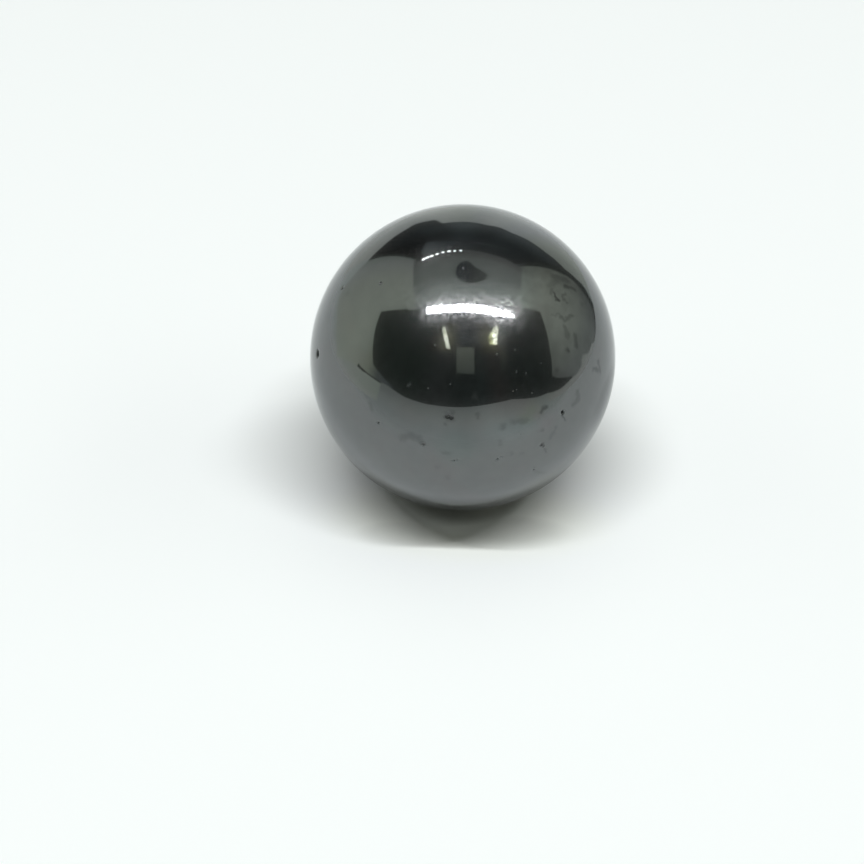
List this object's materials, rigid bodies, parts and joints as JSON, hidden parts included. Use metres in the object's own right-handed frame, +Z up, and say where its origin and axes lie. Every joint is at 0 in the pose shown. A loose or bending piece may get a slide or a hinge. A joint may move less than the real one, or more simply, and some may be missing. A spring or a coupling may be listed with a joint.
{
  "type": "magnetic ball",
  "caption": "Solid ferrite magnet ball, ground round and polished to a dark grey mirror, with fine open pores on one side.",
  "frame": {"origin": "centre of the ball", "axes": "+Z up, through the centre; -Y towards the side with the open pores; +X to the right as that side is faced"},
  "size_m": [0.03, 0.03, 0.03],
  "materials": {
    "polished_ferrite": "polished"
  },
  "bodies": {
    "root": {"ball": "polished_ferrite"}
  },
  "joints": []
}
